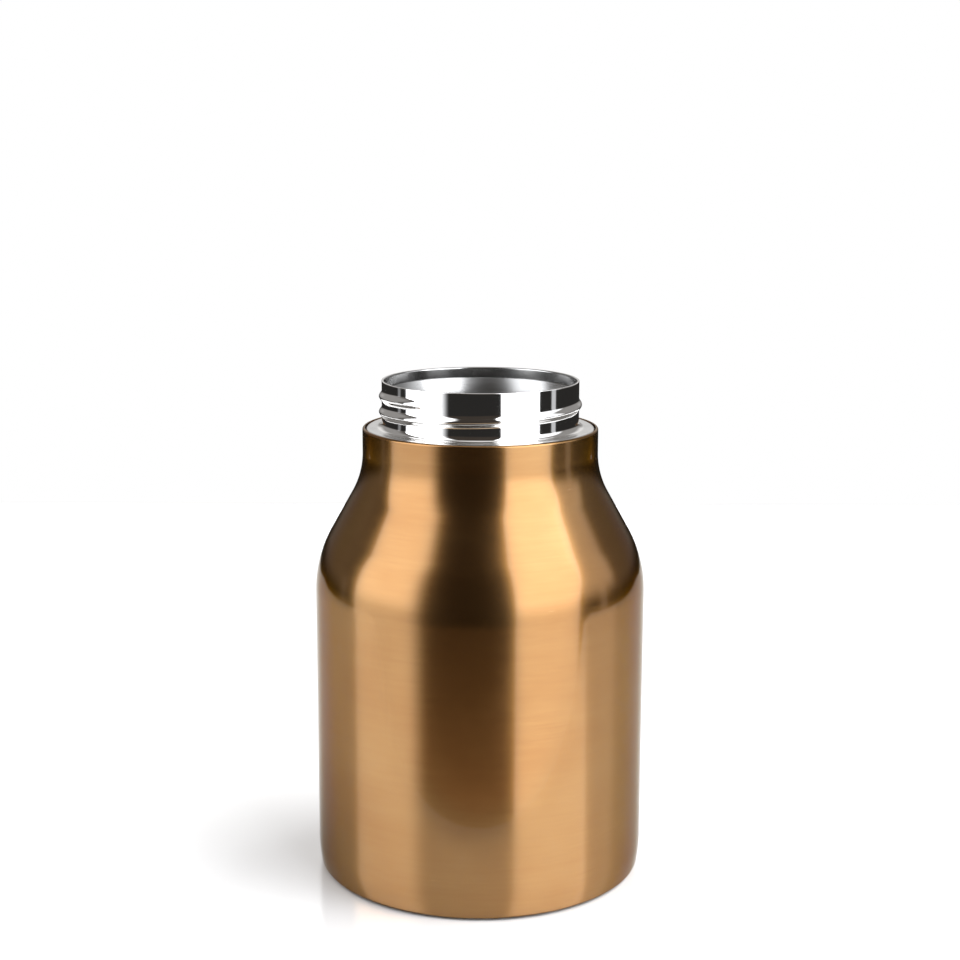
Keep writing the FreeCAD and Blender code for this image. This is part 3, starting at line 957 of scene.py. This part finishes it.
@dataclass(frozen=True)
class Liner:
    """Inner vessel: flared mouth, throat, shoulder, wall and a pressed bottom."""

    body_radius: float
    overall_height: float
    gap: float = 2.5  # width of the vacuum space
    wall: float = SHEET_WALL
    throat_radius: float = 24.0  # inside
    mouth_radius: float = 25.85  # outside
    rim_depth: float = 3.1  # of the mouth below the neck's rim
    flare_height: float = 3.0
    flare_bend: float = 12.0
    shoulder_foot: float = 85.0
    shoulder_foot_bend: float = 26.0
    shoulder_top: float = 108.5
    shoulder_top_bend: float = 20.0
    seam_height: float = 16.0  # of the weld between wall and bottom
    seam_gap: float = 0.05
    floor_height: float = 9.0  # underside of the floor's lowest ring
    floor_bend: float = 6.0
    panel_height: float = 10.4  # underside of the raised middle
    panel_radius: float = 22.0
    panel_foot_radius: float = 28.0
    panel_bend: float = 8.0
    deburr: float = 0.14
    steps: int = 192
    wall_facet: float = 2.0
    bottom_facet: float = 5.0

    @property
    def radius(self) -> float:
        """Outer radius of the liner's wall."""
        return self.body_radius - SHEET_WALL - self.gap

    def wall_section(self) -> list[Corner]:
        """Section of the wall, from the seam up to the mouth."""
        rim = self.overall_height - self.rim_depth
        throat = self.throat_radius + self.wall
        outside = [
            Corner(self.radius, self.seam_height),
            Corner(self.radius, self.shoulder_foot, self.shoulder_foot_bend),
            Corner(throat, self.shoulder_top, self.shoulder_top_bend),
            Corner(throat, rim - self.flare_height, self.flare_bend),
            Corner(self.mouth_radius, rim),
        ]
        return sheet_wall(outside, self.wall, self.deburr)

    def bottom_section(self) -> list[Corner]:
        """Section of the bottom cup, from the middle of its raised panel to the seam."""
        underside = [
            Corner(0.0, self.panel_height),
            Corner(self.panel_radius, self.panel_height, self.panel_bend),
            Corner(self.panel_foot_radius, self.floor_height, self.panel_bend),
            Corner(self.radius, self.floor_height, self.floor_bend),
            Corner(self.radius, self.seam_height - self.seam_gap),
        ]
        return sheet_wall(underside, self.wall)

    def build(self) -> None:
        """Turn both parts and finish them alike."""
        steel = LinerSteel("liner steel").make()
        body = turned("liner_body_wall", self.wall_section(), self.steps, self.wall_facet)
        place(body, "liner_body", steel)
        bottom = turned("liner_bottom_cup", self.bottom_section(), self.steps, self.bottom_facet)
        place(bottom, "liner_bottom", steel)


@dataclass(frozen=True)
class Base:
    """What closes the container underneath: cover disc and foot ring."""

    cover_radius: float = 41.45
    cover_underside: float = 1.4
    cover_wall: float = SHEET_WALL
    cover_bend: float = 0.8
    cover_rim: float = 1.2  # height of its turned-up edge
    foot_inner: float = 33.0
    foot_outer: float = 38.0
    foot_gap: float = 0.05  # between foot ring and disc
    foot_rounding: float = 0.35
    steps: int = 160
    facet: float = 10.0

    def cover_section(self) -> list[Corner]:
        """Section of the disc with its turned-up edge, from the axis outwards."""
        underside = [
            Corner(0.0, self.cover_underside),
            Corner(self.cover_radius, self.cover_underside, self.cover_bend),
            Corner(self.cover_radius, self.cover_underside + self.cover_rim),
        ]
        return sheet_wall(underside, self.cover_wall)

    def foot_section(self) -> list[Corner]:
        """Section of the moulded foot."""
        top = self.cover_underside - self.foot_gap
        return [
            Corner(self.foot_inner, 0.0, self.foot_rounding),
            Corner(self.foot_outer, 0.0, self.foot_rounding),
            Corner(self.foot_outer, top),
            Corner(self.foot_inner, top),
        ]

    def build(self) -> None:
        """Turn the disc and the foot."""
        cover = turned("base_cover_disc", self.cover_section(), self.steps, self.facet)
        place(cover, "base_cover", DiscSteel("spun disc steel").make())
        foot = turned("foot_ring_moulded", self.foot_section(), self.steps, self.facet)
        place(foot, "foot_ring", SILICONE.make())


class VacuumSpace:
    """The pieces between the two walls and under the base, which keep their CAD meshes."""

    def build(self) -> None:
        """Finish every one of them."""
        mill = MillSteel("mill steel").make()
        dress("shell_base", mill)
        dress("getter_clip", mill)
        dress("reflector_foil", CopperFoil("copper foil").make())
        dress("vacuum_seal", SEALING_GLASS.make())
        dress("getter_pellet", GETTER_POWDER.make())
        dress("cover_tape", FOAM.make())


# ------------------------------------------------------------------------------------------ studio


@dataclass(frozen=True)
class SoftBox:
    """A soft light of the studio, as a window of directions seen from the container."""

    start: float  # degrees from the front, positive to the right
    stop: float  # at the horizon
    start_soft: float  # width of the fade there
    stop_soft: float
    high: float  # highest elevation
    rise_soft: float  # width of the fade at its lower and upper edge
    level: float
    low: float = -40.0  # lowest elevation
    below: float = 1.0  # share of its brightness below the horizon
    lean: float = 0.0  # how far its stop moves outwards with each degree of elevation
    dusk: Fade = (-6.0, 6.0)  # elevations where that share ends and all of it begins

    def light(self, azimuth: Value, elevation: Value) -> Value:
        """Its brightness in every direction.

        Args:
            azimuth: degrees from the front, positive to the right.
            elevation: degrees above the horizon.

        Returns:
            The brightness.
        """
        outwards = azimuth.graph.math("MAXIMUM", elevation, 0.0) * self.lean
        leaning = azimuth - outwards
        near = azimuth.step(self.start, self.start + self.start_soft)
        sides = near * leaning.step(self.stop, self.stop - self.stop_soft)
        strength = self.below + elevation.step(*self.dusk) * (1.0 - self.below)
        return sides * elevation.window(self.low, self.high, self.rise_soft) * strength * self.level


@dataclass(frozen=True)
class Glow:
    """A softly lit wall of the room, alike on the left and the right."""

    side: Fade  # degrees from the front
    foot: Fade  # elevations where it comes in
    top: Fade  # and where it goes out again
    level: float

    def light(self, azimuth: Value, elevation: Value) -> Value:
        """Its brightness in every direction.

        Args:
            azimuth: degrees from the front.
            elevation: degrees above the horizon.

        Returns:
            The brightness.
        """
        across = abs(azimuth).step(*self.side) * elevation.step(*self.foot)
        return across * elevation.step(*self.top) * self.level


@dataclass(frozen=True)
class Lamp:
    """A distant lamp that lights the table and throws a soft shadow, without a glint in metal."""

    azimuth: float  # degrees from the front, positive to the right
    elevation: float
    spread: float  # how wide it looks from the container
    strength: float  # on a surface square to it

    def build(self) -> None:
        """Hang the lamp."""
        data = bpy.data.lights.new("lamp", "SUN")
        data.energy = self.strength
        data.angle = math.radians(self.spread)
        made = bpy.data.objects.new("lamp", data)
        tilt, turn = math.radians(90.0 - self.elevation), math.radians(self.azimuth)
        made.rotation_euler = (tilt, 0.0, turn)
        made.visible_glossy = False
        bpy.context.scene.collection.objects.link(made)


@dataclass(frozen=True)
class Studio:
    """White backdrop, dark room in front, soft lights and a pale glossy table."""

    body_radius: float
    room: Colour = (0.056, 0.046, 0.038)  # dark above the horizon
    floor_shade: Colour = (0.026, 0.025, 0.024)  # dark below it
    horizon: Fade = (-8.0, 0.0)
    overhead: float = 1.3  # brightness of the ceiling
    ceiling: Fade = (62.0, 78.0)
    foreground: Colour = (1.35, 1.0, 0.66)  # warm light from the near part of the floor
    nearby_start: float = -12.0  # elevation where it begins, going down
    nearby_span: float = 14.0  # further degrees until it is full
    nearby_power: float = 3.0
    nearby_foot: Fade = (-32.0, -26.0)  # elevations where it ends, going down
    soft_white: Colour = (0.98, 1.0, 1.04)
    table_front: float = 62.0  # from the container to the table's front edge
    table_reach: float = 480.0  # half width, and distance to the back edge
    table_white: Colour = (0.64, 0.64, 0.64)
    table_roughness: float = 0.12
    table_ior: float = 3.0  # high, for a strong mirror image

    def soft_boxes(self) -> list[SoftBox]:
        """List the soft lights.

        Returns:
            The two large ones, the dim end of the right one, and a low strip on each side
            that edges the body's outline.
        """
        return [
            SoftBox(-97.0, -36.0, 4.0, 16.0, 58.0, 8.0, 3.9, below=0.58),
            SoftBox(22.5, 73.0, 3.0, 3.0, 62.0, 8.0, 5.2, below=0.60, lean=0.37),
            SoftBox(74.0, 112.0, 3.0, 10.0, 62.0, 12.0, 1.5, low=2.0),
            SoftBox(89.0, 98.0, 2.0, 2.0, 4.0, 6.0, 0.65),
            SoftBox(-112.0, -104.0, 3.0, 3.0, 4.0, 6.0, 0.25),
        ]

    def glows(self) -> list[Glow]:
        """The backdrop, and the walls on both sides of the container."""
        return [
            Glow(side=(146.0, 166.0), foot=(2.0, 12.0), top=(50.0, 20.0), level=0.55),
            Glow(side=(92.0, 118.0), foot=(-6.0, 2.0), top=(60.0, 40.0), level=0.28),
        ]

    def lamps(self) -> list[Lamp]:
        """The lamp on the right that throws the shadow, and a weak one that lightens it."""
        return [
            Lamp(azimuth=97.0, elevation=38.0, spread=75.0, strength=5.6),
            Lamp(azimuth=-75.0, elevation=55.0, spread=60.0, strength=0.8),
        ]

    def colour(self, graph: Graph) -> Value:
        """What metal sees of the room.

        Args:
            graph: the world's nodes.

        Returns:
            The colour in every direction.
        """
        direction = graph.node("ShaderNodeTexCoord").out("Generated")
        parts = graph.node("ShaderNodeSeparateXYZ", None, {"Vector": direction})
        degrees = 180.0 / math.pi
        azimuth = graph.math("ARCTAN2", parts.out("X"), 0.0 - parts.out("Y")) * degrees
        elevation = graph.math("ARCSINE", parts.out("Z")) * degrees
        dim = elevation.step(*self.ceiling) * self.overhead
        for glow in self.glows():
            dim = dim + glow.light(azimuth, elevation)
        depth = graph.math("MAXIMUM", (self.nearby_start - elevation) / self.nearby_span, 0.0)
        nearby = graph.math("MINIMUM", depth.power(self.nearby_power), 1.0)
        soft: Value | float = 0.0
        for box in self.soft_boxes():
            soft = soft + box.light(azimuth, elevation)
        colour = graph.blend(elevation.step(*self.horizon), self.floor_shade, self.room)
        colour = graph.tinted(colour, dim, WHITE)
        colour = graph.tinted(colour, nearby * elevation.step(*self.nearby_foot), self.foreground)
        return graph.tinted(colour, soft, self.soft_white)

    def world(self) -> None:
        """Light the room; the camera itself sees plain white."""
        world = bpy.data.worlds.new("studio")
        bpy.context.scene.world = world
        world.use_nodes = True
        graph = Graph(world.node_tree)
        seen = graph.node("ShaderNodeLightPath").out("Is Camera Ray")
        shown = graph.blend(seen, self.colour(graph), WHITE)
        background = graph.node("ShaderNodeBackground", None, {"Color": shown})
        graph.node("ShaderNodeOutputWorld", None, {"Surface": background.out("Background")})

    def acrylic(self) -> bpy.types.Material:
        """Make the table's finish.

        Returns:
            Plain, glossy white.
        """
        material = bpy.data.materials.new("white acrylic")
        material.use_nodes = True
        graph = Graph(material.node_tree)
        sockets = {
            "Base Color": self.table_white,
            "Roughness": self.table_roughness,
            "IOR": self.table_ior,
        }
        shader = graph.node("ShaderNodeBsdfPrincipled", None, sockets)
        graph.node("ShaderNodeOutputMaterial", None, {"Surface": shader.out("BSDF")})
        return material

    def table(self) -> None:
        """Set up a pale table top whose front edge is just in front of the container."""
        mesh = bmesh.new()
        bmesh.ops.create_grid(mesh, x_segments=1, y_segments=1, size=self.table_reach * MM)
        front = self.body_radius + self.table_front
        depth = (front + self.table_reach) / (2 * self.table_reach)
        bmesh.ops.scale(mesh, verts=mesh.verts, vec=(1.0, depth, 1.0))
        middle = (self.table_reach - front) / 2 * MM
        bmesh.ops.translate(mesh, verts=mesh.verts, vec=(0.0, middle, 0.0))
        data = bpy.data.meshes.new("table_top")
        mesh.to_mesh(data)
        mesh.free()
        data.materials.append(self.acrylic())
        top = bpy.data.objects.new("table_top", data)
        bpy.context.scene.collection.objects.link(top)

    def build(self) -> None:
        """Set up the lights and the table."""
        bpy.context.scene.view_settings.view_transform = "Standard"
        self.world()
        self.table()
        for lamp in self.lamps():
            lamp.build()
        LOG.info("studio ready: %d soft lights", len(self.soft_boxes()))


@dataclass(frozen=True)
class Camera:
    """Camera in front of the container, a little above its mouth."""

    distance: float = 467.7  # in front of the axis
    height: float = 199.5  # above the table
    aside: float = -0.3  # right of the axis
    pitch: float = 11.08  # degrees looking down
    roll: float = 0.15  # degrees
    lens: float = 65.67
    sensor: float = 36.0

    def build(self) -> None:
        """Place the camera and make it the scene's own."""
        data = bpy.data.cameras.new("camera")
        data.lens = self.lens
        data.sensor_width = self.sensor
        made = bpy.data.objects.new("camera", data)
        made.location = (self.aside * MM, -self.distance * MM, self.height * MM)
        made.rotation_euler = (math.radians(90.0 - self.pitch), math.radians(-self.roll), 0.0)
        bpy.context.scene.collection.objects.link(made)
        bpy.context.scene.camera = made


def main() -> None:
    """Build, dress and stage the container."""
    logging.basicConfig(level=logging.INFO, format="%(name)s: %(message)s")
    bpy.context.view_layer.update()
    shell_low, shell_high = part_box("outer_shell")
    neck_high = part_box("neck_ring")[1]
    body_radius = (shell_high.y - shell_low.y) / 2 / MM
    shoulder_height = shell_high.z / MM
    overall_height = neck_high.z / MM
    OuterShell(body_radius, shoulder_height).build()
    Neck(overall_height, shoulder_height).build()
    Liner(body_radius, overall_height).build()
    Base().build()
    VacuumSpace().build()
    Studio(body_radius).build()
    Camera().build()


if __name__ == "__main__":
    main()
